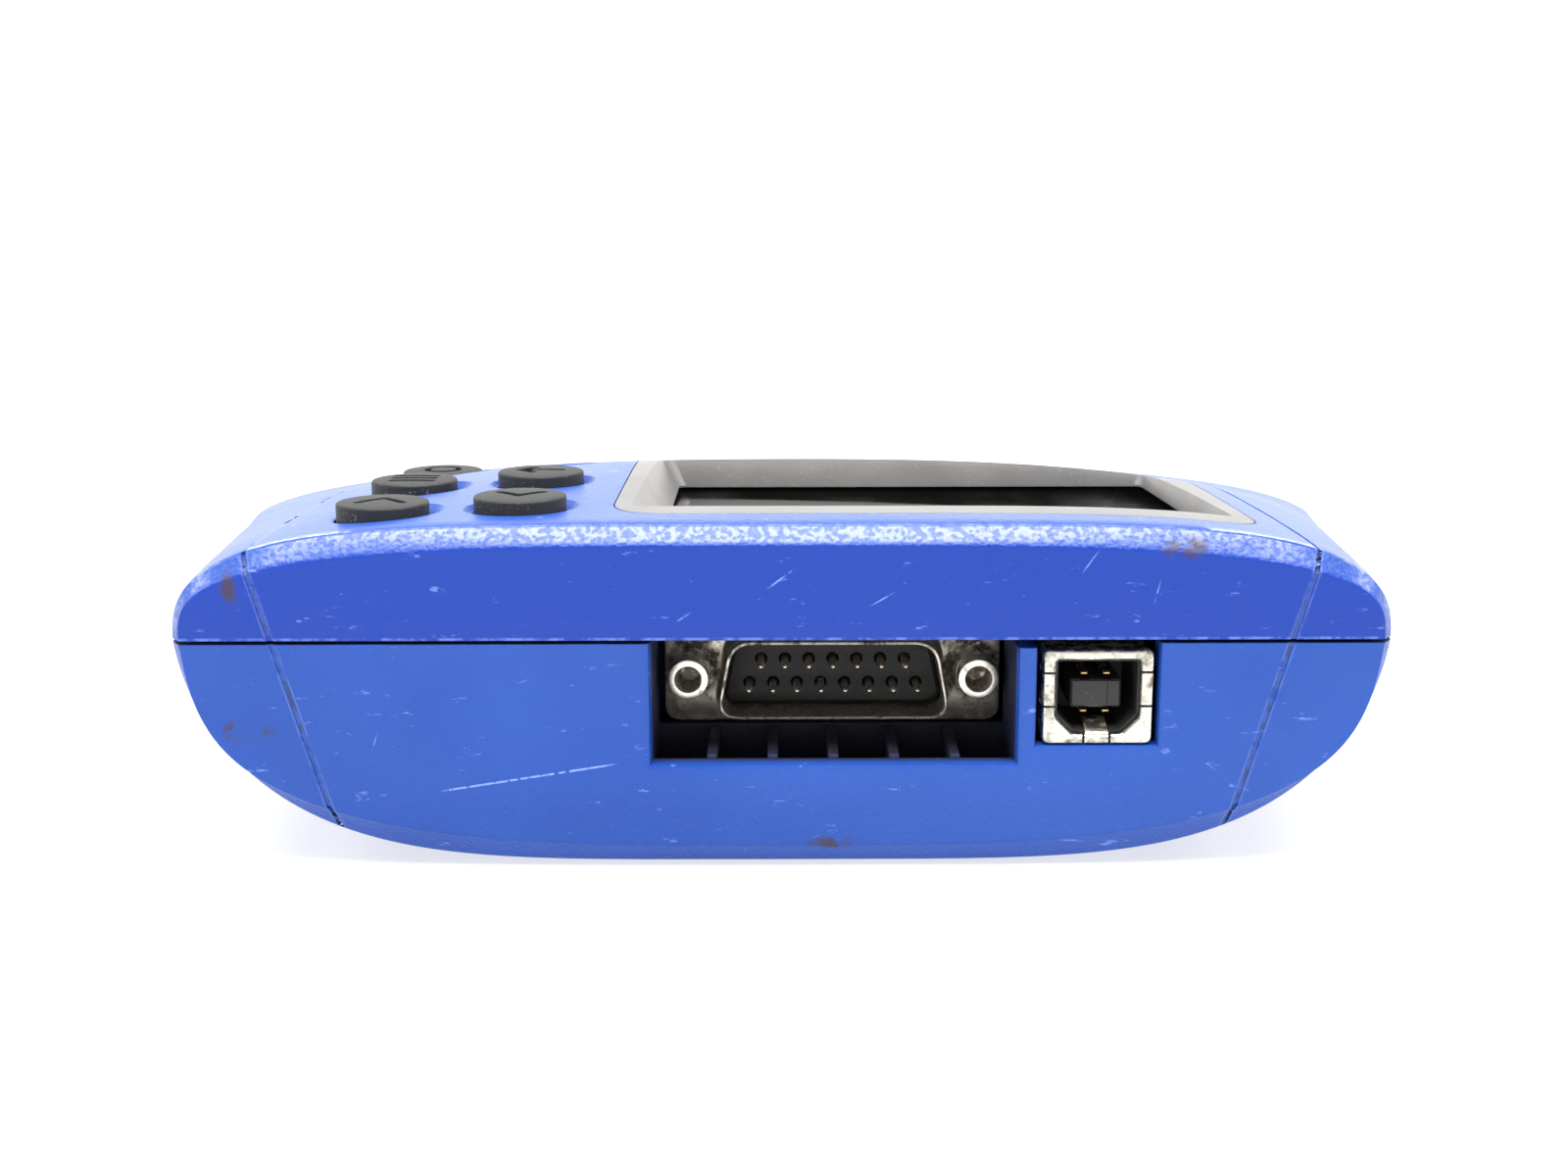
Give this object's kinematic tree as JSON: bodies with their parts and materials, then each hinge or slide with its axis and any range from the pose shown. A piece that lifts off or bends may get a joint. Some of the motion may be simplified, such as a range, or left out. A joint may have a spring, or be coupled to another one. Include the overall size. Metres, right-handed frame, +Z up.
{
  "type": "obd code reader",
  "caption": "Hand-held vehicle fault-code reader: a lens-shaped two-part case with a flat port end, a framed screen, round rubber keys and a swing-down battery door.",
  "frame": {"origin": "middle of the base, on the surface that the reader lies on", "axes": "+Z up through the screen, -Y out of the flat end that holds the ports, +X to the right when facing that end"},
  "size_m": [0.1568, 0.124, 0.0402],
  "materials": {
    "case_blue": "textured moulded ABS, scuffed",
    "trim_grey": "fine satin moulded",
    "screen_clear": "clear acrylic",
    "display_grey": "polished display glass, switched off",
    "display_white": "translucent light guide",
    "board_green": "solder mask",
    "moulded_black": "fine moulded",
    "key_rubber": "matt silicone rubber",
    "dull_nickel": "plated sheet, tarnished",
    "plain_steel": "zinc plated",
    "gold_plate": "gold flash on brass",
    "cell_jacket": "shrink sleeve",
    "wire_red": "wire insulation"
  },
  "bodies": {
    "case": {"upper_cover": "case_blue", "lower_cover": "case_blue", "screen_bezel": "trim_grey", "screen_window": "screen_clear", "lcd_glass": "display_grey", "lcd_backlight": "display_white", "lcd_frame": "plain_steel", "lcd_ribbon": "gold_plate", "main_board": "board_green", "processor_chip": "moulded_black", "memory_chip": "moulded_black", "clock_crystal": "dull_nickel", "status_led": "display_white", "status_lens": "screen_clear", "obd_port_shell": "dull_nickel", "obd_port_insulator": "moulded_black", "obd_pin_1": "gold_plate", "obd_pin_2": "gold_plate", "obd_pin_3": "gold_plate", "obd_pin_4": "gold_plate", "obd_pin_5": "gold_plate", "obd_pin_6": "gold_plate", "obd_pin_7": "gold_plate", "obd_pin_8": "gold_plate", "obd_pin_9": "gold_plate", "obd_pin_10": "gold_plate", "obd_pin_11": "gold_plate", "obd_pin_12": "gold_plate", "obd_pin_13": "gold_plate", "obd_pin_14": "gold_plate", "obd_pin_15": "gold_plate", "jack_screw_left": "dull_nickel", "jack_screw_right": "dull_nickel", "usb_port_shell": "dull_nickel", "usb_port_insulator": "moulded_black", "usb_contact_1": "gold_plate", "usb_contact_2": "gold_plate", "usb_contact_3": "gold_plate", "usb_contact_4": "gold_plate", "keypad_mat": "key_rubber", "battery_1": "cell_jacket", "battery_2": "cell_jacket", "battery_3": "cell_jacket", "battery_plate_front_single": "dull_nickel", "battery_plate_front_double": "dull_nickel", "battery_plate_rear_double": "dull_nickel", "battery_plate_rear_single": "dull_nickel", "battery_lead_red": "wire_red", "battery_lead_black": "moulded_black", "case_screw_1": "plain_steel", "case_screw_2": "plain_steel", "case_screw_3": "plain_steel", "case_screw_4": "plain_steel"},
    "key_down_button": {"key_down": "key_rubber"},
    "key_up_button": {"key_up": "key_rubber"},
    "key_menu_button": {"key_menu": "key_rubber"},
    "key_enter_button": {"key_enter": "key_rubber"},
    "key_power_button": {"key_power": "key_rubber"},
    "door": {"battery_door": "case_blue"}
  },
  "joints": [
    {"name": "key_down_press", "type": "slide", "parent": "case", "child": "key_down_button", "axis": [0, 0, -1], "range_m": [0, 0.0012], "stiffness_N_per_m": 800},
    {"name": "key_up_press", "type": "slide", "parent": "case", "child": "key_up_button", "axis": [0, 0, -1], "range_m": [0, 0.0012], "stiffness_N_per_m": 800},
    {"name": "key_menu_press", "type": "slide", "parent": "case", "child": "key_menu_button", "axis": [0, 0, -1], "range_m": [0, 0.0012], "stiffness_N_per_m": 800},
    {"name": "key_enter_press", "type": "slide", "parent": "case", "child": "key_enter_button", "axis": [0, 0, -1], "range_m": [0, 0.0012], "stiffness_N_per_m": 800},
    {"name": "key_power_press", "type": "slide", "parent": "case", "child": "key_power_button", "axis": [0, 0, -1], "range_m": [0, 0.0012], "stiffness_N_per_m": 800},
    {"name": "battery_door_swing", "type": "hinge", "parent": "case", "child": "door", "pos_m": [0, -0.029, 0], "axis": [-1, 0, 0], "range_deg": [0, 75]}
  ]
}
